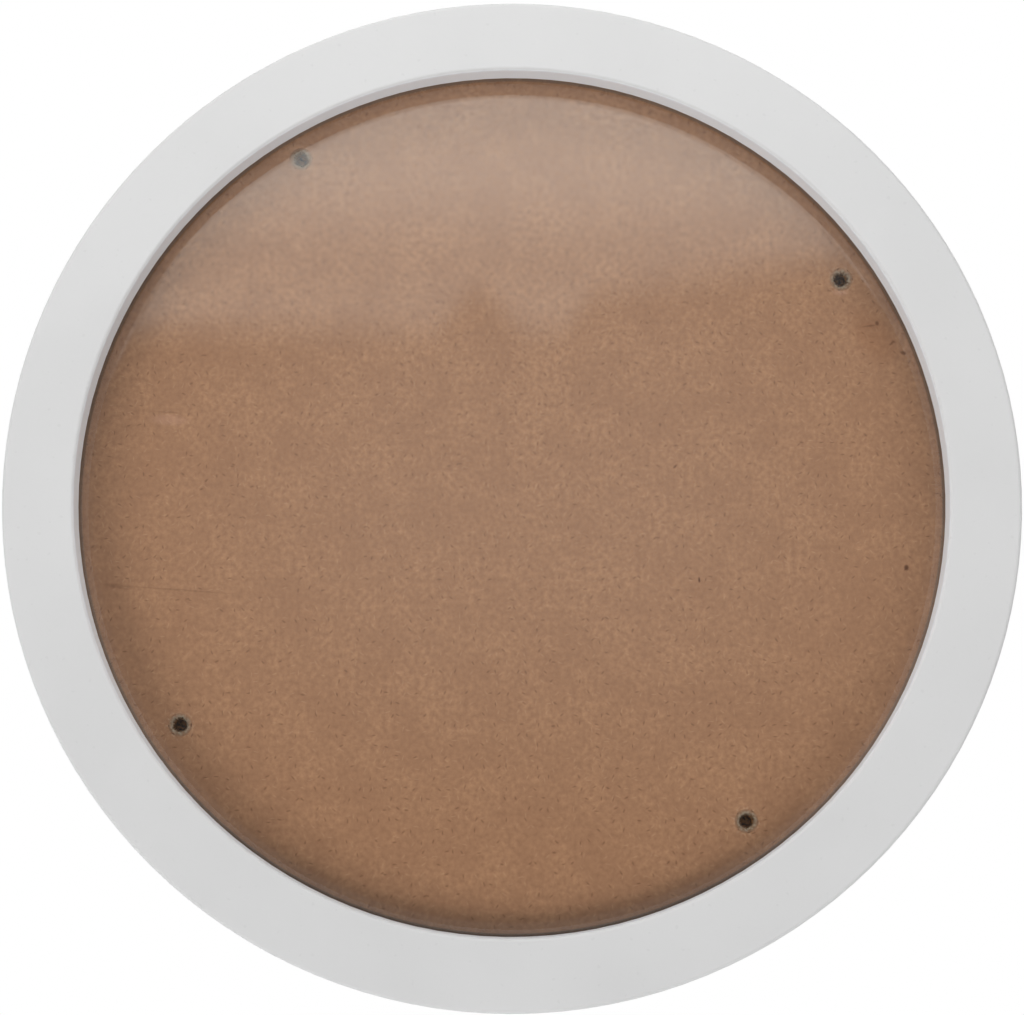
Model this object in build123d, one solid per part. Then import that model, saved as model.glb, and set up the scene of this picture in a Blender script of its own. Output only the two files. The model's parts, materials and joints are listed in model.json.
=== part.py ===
from build123d import *
import math
import os

# Round photo frame that hangs on a wall. It is empty, so its brown back shows through the pane.
# Millimetres. +Z is up, +X is to the right, and the front looks towards -Y.
# The origin is where a nail in the wall carries the hanger's middle notch, on the plane of the wall.

# Ring of lacquered fibreboard, with a lip in front, a rebate behind it and a groove in the rebate's wall
RING_DIAMETER = 300.0
BORDER_WIDTH = 21.15
FRONT_EDGE_ROUND = 1.2
OPENING_EDGE_ROUND = 1.0
BACK_EDGE_BREAK = 0.6
LIP_WALL_DEPTH = 8.0
LIP_EASE_DEPTH = 2.0
LIP_EASE_WIDTH = 1.2
REBATE_WIDTH = 4.0
BACK_RECESS = 6.6

# Pane and board, dropped into the rebate from behind, with room between them for a print
PANE_THICKNESS = 2.0
PANE_EDGE_CLEARANCE = 0.4
PANE_EDGE_BREAK = 0.2
PANE_PLAY = 0.1
PRINT_ROOM = 0.3
BOARD_THICKNESS = 3.0
BOARD_EDGE_CLEARANCE = 0.6
BOARD_EDGE_BREAK = 0.3

# Rivets set by hand: how far in from the opening's wall, and the angle up from the right
RIVET_PLACES = (
    (6.15, 121.6),
    (8.85, 33.7),
    (10.95, 305.7),
    (9.95, 214.7),
)
RIVET_SHANK = 4.4
RIVET_BORE = 3.2
RIVET_SOLID_END = 2.0
RIVET_HEAD = 7.4
RIVET_HEAD_HEIGHT = 1.3
CLINCH_DIAMETER = 6.6
CLINCH_HEIGHT = 0.8
CLINCH_SINK = 0.1
CLINCH_CLEARANCE = 0.2
BOARD_HOLE_CLEARANCE = 0.1
ROUNDED_SHARE = 0.85

# Washers and turn tabs on the rivets
WASHER_DIAMETER = 9.0
WASHER_THICKNESS = 0.8
WASHER_CLEARANCE = 0.1
TAB_THICKNESS = 1.0
TAB_WIDTH = 11.0
TAB_TIP_WIDTH = 6.4
TAB_TAIL = 7.6
TAB_TAIL_WIDTH = 7.0
TAB_FINGER_HEIGHT = 2.6
TAB_BEND = 0.6
TAB_BITE = 2.05
TAB_PLAY = 0.1
TAB_RUNNING_FIT = 0.08
GROOVE_PLAY = 0.4
GROOVE_END_ROOM = 0.6

# Sawtooth hanger, its nails, and the bumpers that keep the back off the wall
WALL_GAP = 3.0
HANGER_LENGTH = 40.0
HANGER_HEIGHT = 7.0
HANGER_SHEET = 0.8
HANGER_FOOT = 7.5
HANGER_RAMP = 2.4
HANGER_CORNER = 1.6
HANGER_BEND = 0.5
NOTCH_COUNT = 5
NOTCH_PITCH = 4.0
NOTCH_WIDTH = 3.2
NOTCH_DEPTH = 1.5
NAIL_DIAMETER = 1.4
NAIL_LENGTH = 10.0
NAIL_POINT = 2.0
NAIL_HEAD = 3.4
NAIL_HEAD_HEIGHT = 0.7
NAIL_HOLE_CLEARANCE = 0.15
NAIL_PILOT_FIT = 0.02
NAIL_PILOT_ROOM = 0.2
BUMPER_DIAMETER = 9.0
BUMPER_ROUND = 2.2
BUMPER_ANGLE = 35.0

# Radii about the frame's axis
ring_radius = RING_DIAMETER / 2
opening_radius = ring_radius - BORDER_WIDTH
rebate_radius = opening_radius + REBATE_WIDTH
rivet_insets = [inset for inset, angle in RIVET_PLACES]
tab_reach = max(rivet_insets) + REBATE_WIDTH + TAB_BITE
groove_radius = opening_radius - min(rivet_insets) + tab_reach + GROOVE_END_ROOM

# Depths behind the front face, in the order in which the pieces are put in
lip_back = LIP_WALL_DEPTH + LIP_EASE_DEPTH
pane_front = lip_back + PANE_PLAY
pane_back = pane_front + PANE_THICKNESS
board_front = pane_back + PRINT_ROOM
board_back = board_front + BOARD_THICKNESS
washer_back = board_back + WASHER_THICKNESS
tab_front = washer_back + TAB_PLAY
tab_back = tab_front + TAB_THICKNESS
rivet_head_front = tab_back + TAB_PLAY
rivet_head_back = rivet_head_front + RIVET_HEAD_HEIGHT
clinch_front = board_front + CLINCH_SINK
clinch_back = clinch_front + CLINCH_HEIGHT
groove_front = tab_front - GROOVE_PLAY
groove_back = tab_back + GROOVE_PLAY
ring_back = board_back + BACK_RECESS
wall_depth = ring_back + WALL_GAP
nail_seat = ring_back + HANGER_SHEET
nail_tip = nail_seat - NAIL_LENGTH

# The hanger's nails go into the middle of the wall that is left outside the groove
nail_across = HANGER_LENGTH / 2 - HANGER_FOOT / 2
nail_up = math.sqrt(((groove_radius + ring_radius) / 2) ** 2 - nail_across**2)
notch_up = nail_up - HANGER_HEIGHT / 2 + NOTCH_DEPTH


def station(depth):
    """Where a depth behind the front face lies along Y."""
    return depth - wall_depth


def turned(outline, rounded=()):
    """Turn an outline of (radius, depth) corners about Y; rounded lists (corner, round)."""
    corners = [Vector(radius, station(depth)) for radius, depth in outline]
    face = make_face(Polyline(*corners, close=True))
    for corner, size in rounded:
        face = fillet(face.vertices().sort_by_distance(corners[corner])[0], size)
    return revolve(face, Axis.Y)


def on_circle(radius, angle):
    """Move a piece from the frame's axis to a radius and an angle up from the right."""
    turn = math.radians(angle)
    return Pos(radius * math.cos(turn), 0, radius * math.sin(turn))


def at_rivet(place):
    """Move a piece from the frame's axis to a rivet's axis."""
    inset, angle = place
    return on_circle(opening_radius - inset, angle)


def pressed_sheet(side, plan):
    """A pressed piece of sheet: its side view pulled across, then trimmed to its plan."""
    reach = HANGER_LENGTH + tab_reach
    return extrude(side, amount=reach, both=True) & extrude(Plane.XZ * plan, amount=reach, both=True)


def frame_ring():
    """The ring: rounded front edges, an eased lip, the rebate, the tabs' groove and the nails' holes."""
    outline = [
        (opening_radius, 0),
        (ring_radius, 0),
        (ring_radius, ring_back - BACK_EDGE_BREAK),
        (ring_radius - BACK_EDGE_BREAK, ring_back),
        (rebate_radius + BACK_EDGE_BREAK, ring_back),
        (rebate_radius, ring_back - BACK_EDGE_BREAK),
        (rebate_radius, groove_back),
        (groove_radius, groove_back),
        (groove_radius, groove_front),
        (rebate_radius, groove_front),
        (rebate_radius, lip_back),
        (opening_radius + LIP_EASE_WIDTH, lip_back),
        (opening_radius, LIP_WALL_DEPTH),
    ]
    ring = turned(outline, [(0, OPENING_EDGE_ROUND), (1, FRONT_EDGE_ROUND)])
    pilot_radius = NAIL_DIAMETER / 2 + NAIL_PILOT_FIT
    pilot_end = nail_tip - NAIL_PILOT_ROOM
    pilot = turned([(0, pilot_end), (pilot_radius, pilot_end), (pilot_radius, nail_seat), (0, nail_seat)])
    for side in (-1, 1):
        ring -= Pos(side * nail_across, 0, nail_up) * pilot
    return ring


def disc(radius, front, back, edge_break):
    """A plain disc with its two edges broken."""
    outline = [
        (0, front),
        (radius - edge_break, front),
        (radius, front + edge_break),
        (radius, back - edge_break),
        (radius - edge_break, back),
        (0, back),
    ]
    return turned(outline)


def acrylic_pane():
    """The clear pane behind the lip."""
    return disc(rebate_radius - PANE_EDGE_CLEARANCE, pane_front, pane_back, PANE_EDGE_BREAK)


def backing_board():
    """The brown board, with a stepped hole for each rivet, so that the clinched ends lie below its face."""
    board = disc(rebate_radius - BOARD_EDGE_CLEARANCE, board_front, board_back, BOARD_EDGE_BREAK)
    hole_radius = RIVET_SHANK / 2 + BOARD_HOLE_CLEARANCE
    seat_radius = CLINCH_DIAMETER / 2 + CLINCH_CLEARANCE
    stepped_hole = turned(
        [
            (0, board_front),
            (seat_radius, board_front),
            (seat_radius, clinch_back),
            (hole_radius, clinch_back),
            (hole_radius, board_back),
            (0, board_back),
        ]
    )
    for place in RIVET_PLACES:
        board -= at_rivet(place) * stepped_hole
    return board


def rivet(place):
    """A semi-tubular rivet: a round head at the back, and a hollow end clinched over at the front."""
    bore_radius = RIVET_BORE / 2
    shank_radius = RIVET_SHANK / 2
    clinch_radius = CLINCH_DIAMETER / 2
    head_radius = RIVET_HEAD / 2
    bore_end = rivet_head_back - RIVET_SOLID_END
    outline = [
        (0, bore_end),
        (bore_radius, bore_end),
        (bore_radius, clinch_front),
        (clinch_radius, clinch_front),
        (clinch_radius, clinch_back),
        (shank_radius, clinch_back),
        (shank_radius, rivet_head_front),
        (head_radius, rivet_head_front),
        (head_radius, rivet_head_back),
        (0, rivet_head_back),
    ]
    clinch_round = ROUNDED_SHARE * min(CLINCH_HEIGHT, (clinch_radius - bore_radius) / 2)
    head_round = ROUNDED_SHARE * min(RIVET_HEAD_HEIGHT, head_radius)
    return at_rivet(place) * turned(outline, [(2, clinch_round), (3, clinch_round), (8, head_round)])


def washer(place):
    """A flat washer between the board and a turn tab."""
    inner = RIVET_SHANK / 2 + WASHER_CLEARANCE
    outer = WASHER_DIAMETER / 2
    outline = [(inner, board_back), (outer, board_back), (outer, washer_back), (inner, washer_back)]
    return at_rivet(place) * turned(outline)


def turn_tab(place):
    """A pressed tab on a rivet, turned outwards into the groove, with its tail bent up for a finger."""
    side = make_face(
        Polyline(
            (tab_reach, 0),
            (-TAB_TAIL, 0),
            (-TAB_TAIL, TAB_FINGER_HEIGHT),
            (TAB_THICKNESS - TAB_TAIL, TAB_FINGER_HEIGHT),
            (TAB_THICKNESS - TAB_TAIL, TAB_THICKNESS),
            (tab_reach, TAB_THICKNESS),
            close=True,
        )
    )
    outer_bend = side.vertices().sort_by_distance((-TAB_TAIL, 0))[0]
    side = fillet(outer_bend, TAB_BEND + TAB_THICKNESS)
    inner_bend = side.vertices().sort_by_distance((TAB_THICKNESS - TAB_TAIL, TAB_THICKNESS))[0]
    side = fillet(inner_bend, TAB_BEND)
    tip = Pos(tab_reach - TAB_TIP_WIDTH / 2, 0) * Circle(TAB_TIP_WIDTH / 2)
    tail = Pos(-TAB_TAIL / 2, 0) * Rectangle(TAB_TAIL, TAB_TAIL_WIDTH)
    plan = make_hull((Circle(TAB_WIDTH / 2) + tip + tail).edges())
    plan -= Circle(RIVET_SHANK / 2 + TAB_RUNNING_FIT)
    angle = place[1]
    return at_rivet(place) * Pos(0, station(tab_front), 0) * Rot(0, -angle, 0) * pressed_sheet(side, plan)


def sawtooth_hanger():
    """The hanger: two flat feet, and a raised middle with notches along its lower edge for a nail."""
    half = HANGER_LENGTH / 2
    foot_end = half - HANGER_FOOT
    rise_end = foot_end - HANGER_RAMP
    rise = WALL_GAP - HANGER_SHEET
    lean = HANGER_SHEET * math.tan(math.atan2(rise, HANGER_RAMP) / 2)
    inside = [(half, 0), (foot_end, 0), (rise_end, rise)]
    outside = [
        (half, HANGER_SHEET),
        (foot_end + lean, HANGER_SHEET),
        (rise_end + lean, WALL_GAP),
    ]
    mirrored_inside = [(-across, up) for across, up in reversed(inside)]
    mirrored_outside = [(-across, up) for across, up in outside]
    side = make_face(Polyline(*inside, *mirrored_inside, *mirrored_outside, *reversed(outside), close=True))
    tight = HANGER_BEND
    wide = HANGER_BEND + HANGER_SHEET
    for sign in (-1, 1):
        bends = [(inside[1], wide), (inside[2], tight), (outside[1], tight), (outside[2], wide)]
        for (across, up), size in bends:
            side = fillet(side.vertices().sort_by_distance((sign * across, up))[0], size)
    plan = RectangleRounded(HANGER_LENGTH, HANGER_HEIGHT, HANGER_CORNER)
    low = -HANGER_HEIGHT / 2
    for place in range(NOTCH_COUNT):
        across = (place - (NOTCH_COUNT - 1) / 2) * NOTCH_PITCH
        corners = [(-NOTCH_WIDTH / 2, low), (NOTCH_WIDTH / 2, low), (0, low + NOTCH_DEPTH)]
        plan -= Pos(across, 0) * make_face(Polyline(*corners, close=True))
    for sign in (-1, 1):
        plan -= Pos(sign * nail_across, 0) * Circle(NAIL_DIAMETER / 2 + NAIL_HOLE_CLEARANCE)
    return Pos(0, station(ring_back), nail_up) * pressed_sheet(side, plan)


def hanger_nail(side):
    """A small nail through one of the hanger's feet, into the ring."""
    radius = NAIL_DIAMETER / 2
    head = NAIL_HEAD / 2
    head_back = nail_seat + NAIL_HEAD_HEIGHT
    outline = [
        (0, nail_tip),
        (radius, nail_tip + NAIL_POINT),
        (radius, nail_seat),
        (head, nail_seat),
        (head, head_back),
        (0, head_back),
    ]
    head_round = ROUNDED_SHARE * min(NAIL_HEAD_HEIGHT, head - radius)
    return Pos(side * nail_across, 0, nail_up) * turned(outline, [(4, head_round)])


def wall_bumper(side):
    """A rubber bumper stuck on the back of the ring, flat where it meets the wall."""
    radius = BUMPER_DIAMETER / 2
    outline = [(0, ring_back), (radius, ring_back), (radius, wall_depth), (0, wall_depth)]
    bumper = turned(outline, [(2, min(BUMPER_ROUND, ROUNDED_SHARE * WALL_GAP))])
    return on_circle((rebate_radius + ring_radius) / 2, side * BUMPER_ANGLE - 90) * bumper


pieces = {
    "frame_ring": frame_ring(),
    "acrylic_pane": acrylic_pane(),
    "backing_board": backing_board(),
    "sawtooth_hanger": sawtooth_hanger(),
}
for number, place in enumerate(RIVET_PLACES, start=1):
    pieces[f"rivet_{number}"] = rivet(place)
    pieces[f"washer_{number}"] = washer(place)
    pieces[f"turn_tab_{number}"] = turn_tab(place)
for name, side in (("left", -1), ("right", 1)):
    pieces[f"hanger_nail_{name}"] = hanger_nail(side)
    pieces[f"wall_bumper_{name}"] = wall_bumper(side)

os.makedirs("parts", exist_ok=True)
for name, shape in pieces.items():
    export_step(Pos(0, 0, -notch_up) * shape, f"parts/{name}.step")
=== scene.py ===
import json
import math

import bmesh
import bpy
from mathutils import Matrix, Vector

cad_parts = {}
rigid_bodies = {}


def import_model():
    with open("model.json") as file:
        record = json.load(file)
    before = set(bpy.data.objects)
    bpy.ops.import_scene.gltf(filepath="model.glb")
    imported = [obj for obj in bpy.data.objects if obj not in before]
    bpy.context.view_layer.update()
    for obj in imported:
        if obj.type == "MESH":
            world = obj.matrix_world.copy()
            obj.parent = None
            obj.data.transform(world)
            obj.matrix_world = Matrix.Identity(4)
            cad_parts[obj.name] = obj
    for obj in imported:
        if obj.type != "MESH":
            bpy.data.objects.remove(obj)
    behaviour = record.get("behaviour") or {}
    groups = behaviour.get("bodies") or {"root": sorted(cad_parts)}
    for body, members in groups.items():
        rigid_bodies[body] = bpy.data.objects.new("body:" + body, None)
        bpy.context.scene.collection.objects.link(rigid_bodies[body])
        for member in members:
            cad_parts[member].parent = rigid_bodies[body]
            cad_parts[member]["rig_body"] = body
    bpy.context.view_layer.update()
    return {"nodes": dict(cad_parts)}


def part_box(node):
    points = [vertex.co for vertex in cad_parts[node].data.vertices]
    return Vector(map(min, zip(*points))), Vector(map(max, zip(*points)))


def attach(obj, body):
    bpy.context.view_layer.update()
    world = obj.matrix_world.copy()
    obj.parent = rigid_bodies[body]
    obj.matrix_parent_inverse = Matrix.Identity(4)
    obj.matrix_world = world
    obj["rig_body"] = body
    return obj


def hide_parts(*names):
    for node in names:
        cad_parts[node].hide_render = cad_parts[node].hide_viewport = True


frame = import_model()

# Metres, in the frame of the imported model: +Z up, +X right, and the front looks towards -Y.
MM = 0.001
nodes = frame["nodes"]
ring_low, ring_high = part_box("frame_ring")
ring_centre = (ring_low + ring_high) / 2
ring_half_depth = (ring_high.y - ring_low.y) / 2
front_face = ring_low.y
pane_low, pane_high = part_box("acrylic_pane")
pane_middle = ring_centre.y - (pane_low.y + pane_high.y) / 2
board_low, board_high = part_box("backing_board")
board_middle = ring_centre.y - (board_low.y + board_high.y) / 2
FACE_ON_TURN = (math.radians(90), 0, 0)

# Camera, as the outline and both rims of the opening place it
PICTURE_WIDTH = 1024
FOCAL_PIXELS = 2213
SENSOR_WIDTH = 36.0
CAMERA_DISTANCE = 0.650
CAMERA_AZIMUTH = 0.36
CAMERA_ELEVATION = -8.2
CAMERA_CLIP_START = 0.01
TARGET_RIGHT_PIXELS = -0.75
TARGET_UP_PIXELS = 15.7

# Studio: light from all round, and a floor below the hung frame, lifted by a glow and white farther off
WHITE = "#FFFFFF"
AMBIENT_LEVEL = 0.40
HANGING_HEIGHT = 1.5
FLOOR_SIDE = 40.0
FLOOR_COLOUR = "#E8E8E8"
FLOOR_LIFT = 0.55
FLOOR_FADE_START = 1.5
FLOOR_FADE_END = 6.0

# Square soft lamps: name, place from the ring's centre, side, and power in watts
SOFT_LAMPS = (
    ("low_left_lamp", (-1.16, -1.15, -1.16), 1.0, 15.2),
    ("low_right_lamp", (1.16, -1.15, -1.16), 1.0, 7.0),
    ("left_lamp", (-1.64, -1.15, 0.0), 1.0, 6.9),
    ("right_lamp", (1.64, -1.15, 0.0), 1.0, 4.4),
    ("top_lamp", (0.0, -0.30, 0.74), 0.5, 2.8),
    ("back_lamp", (0.9, 1.8, 1.0), 1.4, 20.0),
)

# A glowing panel before the frame, which its pane mirrors: its place, and its glow low down, aside and above
PANEL_DISTANCE = 1.575
PANEL_SIDE = 3.2
PANEL_FADE_START = 0.85
PANEL_COLOUR = "#FEFFFC"
PANEL_DIM_GLOW = 0.075
PANEL_GLOW = 0.53
PANEL_DIM_HEIGHT = -0.30
PANEL_GLOW_HEIGHT = 0.10
PANEL_MIDDLE = 0.08
PANEL_SIDES = 0.50
PANEL_SIDE_SHARE = 0.3

# The panel's bright part: its glow, its edges, and the hump, step and slope of its lower edge
BRIGHT_LOW_GLOW = 0.66
BRIGHT_TOP_GLOW = 1.03
BRIGHT_EDGE = 0.257
BRIGHT_EDGE_SOFT = 0.028
BRIGHT_TOP = 0.378
BRIGHT_TOP_SOFT = 0.060
EDGE_HUMP_PLACE = -0.044
EDGE_HUMP_WIDTH = 0.055
EDGE_HUMP_HEIGHT = 0.040
EDGE_STEP_START = 0.035
EDGE_STEP_END = 0.085
EDGE_STEP_HEIGHT = 0.041
EDGE_SLOPE = 0.125

# A range that starts and ends softly
SOFTLY = {"interpolation_type": "SMOOTHSTEP"}

# Sockets of a mix: how much of the upper one shows, the lower and upper colour or number, the mixed colour
SHARE = 0
UNDER = 6
OVER = 7
UNDER_NUMBER = 2
OVER_NUMBER = 3
MIXED = 2

# Where most of a noise lies between 0 and 1, and its middle
NOISE_LOW = 0.3
NOISE_HIGH = 0.7
NOISE_MIDDLE = 0.5

# Pressed fibreboard. Single fibres are too fine to show, so these are bundles, as coarse as they need to be.
MATTED_SIZE = 1.6 * MM
MATTED_DARK = 0.21
MATTED_LIGHT = 0.79
BLOTCH_SIZE = 18 * MM
BLOTCH_FROM = 0.35
BLOTCH_FULL = 0.65
BLOTCH_SHARE = 0.48
FIBRE_CORE = 0.4

# Its loose fibres: spacing, length and width in millimetres, chance of one, how strongly they show, colour
PALE_SHREDS = (2.8, 2.2, 0.38, 0.4, 0.30, "#D1A480")
DARK_FLECKS = (3.1, 1.8, 0.55, 0.35, 0.50, "#6C4229")

# Ring: lacquer on the front, the outside and the lip's wall, overspray round the back, and raw elsewhere
LACQUER_DEPTH = 8.1 * MM
LACQUER_END_SOFT = 0.2 * MM
LACQUER_COLOURS = ("#D8D8D8", "#DBDBDB")
LACQUER_CLOUD_SIZE = 45 * MM
LACQUER_SHINE = (0.40, 0.47)
SPECK_COLOUR = "#B4B4B4"
SPECK_SIZE = 1.6 * MM
SPECK_FROM = 0.76
SPECK_FULL = 0.84
SPECK_SHARE = 0.12
PEEL_SIZE = 1.4 * MM
PEEL_HEIGHT = 0.04 * MM
# Painted light on the lip's wall: a whiter, slightly bluer colour than the lacquer in front
LIP_WALL_PAINTED_LIGHT_COLOUR = "#ECF1F6"
LIP_WALL_RADIUS = 128.85 * MM
LIP_EDGE_ROUND = 0.35 * MM
OVERSPRAY_RADIUS = 146 * MM
OVERSPRAY_REACH = 6 * MM
OVERSPRAY_GRAIN = 1.2 * MM
RING_FIBRE_COLOURS = ("#7E5C42", "#9A7655")
RAW_ROUGHNESS = 0.85

# The pane is a little wavy, and bends back along its edge: where the bend starts at the top and elsewhere,
# and its slopes at the top, the sides and the bottom
PANE_COLOUR = "#FAFCFC"
PANE_WAVE_SIZE = 60 * MM
PANE_WAVE_HEIGHT = 0.10 * MM
PANE_BEND_START_TOP = 123.8 * MM
PANE_BEND_START = 125.0 * MM
PANE_BEND_REACH = 0.6 * MM
PANE_TOP_FROM = 0.60
PANE_TOP_FULL = 0.95
PANE_BEND_TOP = 0.095
PANE_BEND_ASIDE = 0.042
PANE_BEND_BOTTOM = 0.080

# Board: raw fibreboard, crushed and torn round the rivets, with painted shade in a line and a band along the
# lip
BOARD_FIBRE_COLOURS = ("#9E7052", "#BB8A66")
BOARD_FIBRE_HEIGHT = 0.05 * MM
CRUSHED_DIAMETER = 11 * MM
CRUSHED_SHARE = 0.5
TORN_COLOUR = "#DAB69A"
TORN_SIZE = 0.9 * MM
TORN_FROM = 0.48
TORN_FULL = 0.64
# Painted shade along the lip: a dark line all round, darker low down, and a dark band low down
LIP_SHADE_RADIUS = 128.55 * MM
LIP_SHADE_RISE = 0.45 * MM
LIP_SHADE_SOFT = 0.3 * MM
LIP_SHADE_LINE_SHARE = 0.70
LIP_SHADE_LINE_ASIDE = 0.60
LIP_SHADE_LINE_COLOUR = "#7E766F"
LIP_SHADE_LINE_LOW_COLOUR = "#403A35"
LIP_SHADE_BAND_START = 121.0 * MM
LIP_SHADE_BAND_END = 125.4 * MM
LIP_SHADE_BAND_SHARE = 0.34
LIP_SHADE_BAND_COLOUR = "#4C3A2E"

# Marks of use on the board, from its middle: across, up, length and width in millimetres, turn in degrees,
# and how strongly they show
MARK_CORE = 0.3
RUSTY_COLOUR = "#8E5020"
RUSTY_MARKS = (
    (109.5, 49.0, 26.0, 15.0, -55.0, 0.22),
)
DARK_COLOUR = "#55270C"
DARK_MARKS = (
    (-99.0, -27.7, 46.0, 0.8, -4.2, 0.20),
    (-117.0, -26.6, 12.0, 2.2, -4.0, 0.25),
    (-103.5, 26.0, 12.0, 0.8, -3.0, 0.20),
    (108.0, 52.2, 6.0, 0.9, 8.0, 0.35),
    (110.4, 53.0, 1.6, 2.0, 20.0, 0.60),
    (118.0, 43.8, 2.4, 1.6, -30.0, 0.60),
    (114.6, 46.8, 2.6, 1.1, 40.0, 0.50),
    (117.4, -21.2, 1.9, 2.5, 0.0, 0.80),
    (55.8, -24.8, 0.9, 2.4, 5.0, 0.85),
    (49.0, 9.3, 2.4, 0.9, 45.0, 0.60),
    (44.6, 22.0, 1.3, 1.6, 0.0, 0.45),
    (-91.4, 5.2, 2.0, 0.9, 45.0, 0.45),
    (-92.8, 2.6, 1.6, 0.8, 20.0, 0.40),
)
PALE_COLOUR = "#CD9C85"
PALE_MARKS = (
    (-103.0, 23.6, 15.0, 4.6, -4.0, 0.25),
    (99.6, 62.6, 6.0, 3.0, 0.0, 0.30),
)

# Rivets: the part's bore, shank and head, and a clinched end that is split into petals and fills its seat
RIVET_NUMBERS = (1, 2, 3, 4)
RIVET_BORE = 3.2 * MM
RIVET_SHANK = 4.4 * MM
RIVET_SOLID_END = 2.0 * MM
RIVET_HEAD_HEIGHT = 1.3 * MM
RIVET_HEAD_FLAT = 0.35
RIVET_HEAD_RIM_ANGLE = 10
CLINCH_DIAMETER = 7.8 * MM
CLINCH_DROOP = 0.1 * MM
CLINCH_MOUTH = 3.9 * MM
CLINCH_HEIGHT = 0.8 * MM
CLINCH_BLEND = 0.4 * MM
CLINCH_CREST = 0.35
LEAST_PETALS = 5
PETAL_CHOICES = 3
PETAL_SPLIT = 0.5 * MM
PETAL_SPLIT_SHARE = 0.14
PETAL_RAGGED = 0.5 * MM
MOUTH_RAGGED = 2.2 * MM
BORE_POINTS = 3
RIVET_SEGMENTS = 96
ARC_STEPS = 6

# Noise laid on a circle of radius 1 round a rivet's end: how its petals differ, and how its edge is torn
UNEVEN_SCALE = 1.1
TORN_EDGE_SCALE = 6.0
RIVET_SEED_STEP = 3.7

# Rivet steel: dusty on the clinched end, grimy and darkened with painted shade in the bore, and bare on the
# head
RIVET_CLOUD_SIZE = 0.9 * MM
RIVET_CLOUD_FROM = 0.38
RIVET_CLOUD_FULL = 0.62
RIVET_PIT_HEIGHT = 0.04 * MM
RIVET_SHINE = (0.38, 0.55)
RIVET_DUSTY_METAL = 0.2
CLINCH_COLOURS = ("#86684F", "#9F8B77")
BORE_GRIME_AND_SHADE_COLOURS = ("#452810", "#93602C")
PETAL_DUST_COLOUR = "#A57A5B"
PETAL_DUST_FROM = -0.3
PETAL_DUST_FULL = -0.9
PETAL_DUST_SHARE = 0.9
RIVET_HEAD_COLOUR = "#A9AAAB"
RIVET_HEAD_SOFT = 0.2 * MM

# Plated steel pieces: rounded cut edges, cloudy plating, and rolling marks
SHEET_EDGE_ROUND = 0.14 * MM
SHEET_EDGE_STEPS = 2
MERGE_DISTANCE = 0.001 * MM
FLAT_ANGLE = math.radians(0.6)
CREASE_ANGLE = math.radians(32)
ZINC_COLOURS = ("#C9CCCE", "#B4B8BA")
ZINC_ROUGHNESS = 0.34
BRASS_COLOURS = ("#C8B27A", "#B09A66")
BRASS_ROUGHNESS = 0.32
PLATING_CLOUD_SIZE = 3 * MM
ROLLING_LENGTH = 1.5 * MM
ROLLING_NARROWNESS = 9
ROLLING_HEIGHT = 0.02 * MM
ROLLING_SMOOTHER = 0.06
ROLLING_DULLER = 0.08

# Rubber of the bumpers
RUBBER_COLOURS = ("#DADBD8", "#CFCFC8")
RUBBER_CLOUD_SIZE = 2.5 * MM
RUBBER_SHINE = (0.36, 0.48)
RUBBER_SKIN_SIZE = 0.4 * MM
RUBBER_SKIN_HEIGHT = 0.02 * MM


def srgb(text):
    """Linear colour of an sRGB hex value such as "#A0B0C0"."""
    colour = []
    for start in (1, 3, 5):
        value = int(text[start:start + 2], 16) / 255
        colour.append(value / 12.92 if value <= 0.04045 else ((value + 0.055) / 1.055) ** 2.4)
    return (*colour, 1.0)


def add_node(tree, kind, inputs=None, **settings):
    """Add a node. Settings are its properties, inputs are values, sockets or nodes (their first output)."""
    node = tree.nodes.new(kind)
    for name, value in settings.items():
        setattr(node, name, value)
    for key, value in (inputs or {}).items():
        if isinstance(value, bpy.types.Node):
            value = value.outputs[0]
        if isinstance(value, bpy.types.NodeSocket):
            tree.links.new(value, node.inputs[key])
        else:
            node.inputs[key].default_value = value
    return node


def new_material(name):
    """An empty material and its node tree."""
    material = bpy.data.materials.new(name)
    material.use_nodes = True
    material.node_tree.nodes.clear()
    return material, material.node_tree


def face_on(tree):
    """A place on the object as seen face on: across, up and towards the viewer, from the ring's centre."""
    place = add_node(tree, "ShaderNodeTexCoord").outputs["Object"]
    inputs = {"Vector": place, "Location": ring_centre, "Rotation": FACE_ON_TURN}
    return add_node(tree, "ShaderNodeMapping", inputs, vector_type="TEXTURE")


def scaled_length(tree, vector, scale):
    """How long a vector is once its parts are scaled. A scale of 0 leaves a part out."""
    scaled = add_node(tree, "ShaderNodeVectorMath", {0: vector, 1: scale}, operation="MULTIPLY")
    return add_node(tree, "ShaderNodeVectorMath", {0: scaled}, operation="LENGTH").outputs["Value"]


def radius_from_axis(tree, place, rise=0.0):
    """Distance from the ring's axis, or from an axis a little above it."""
    moved = add_node(tree, "ShaderNodeVectorMath", {0: place, 1: (0, rise, 0)}, operation="SUBTRACT")
    return scaled_length(tree, moved, (1, 1, 0))


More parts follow.
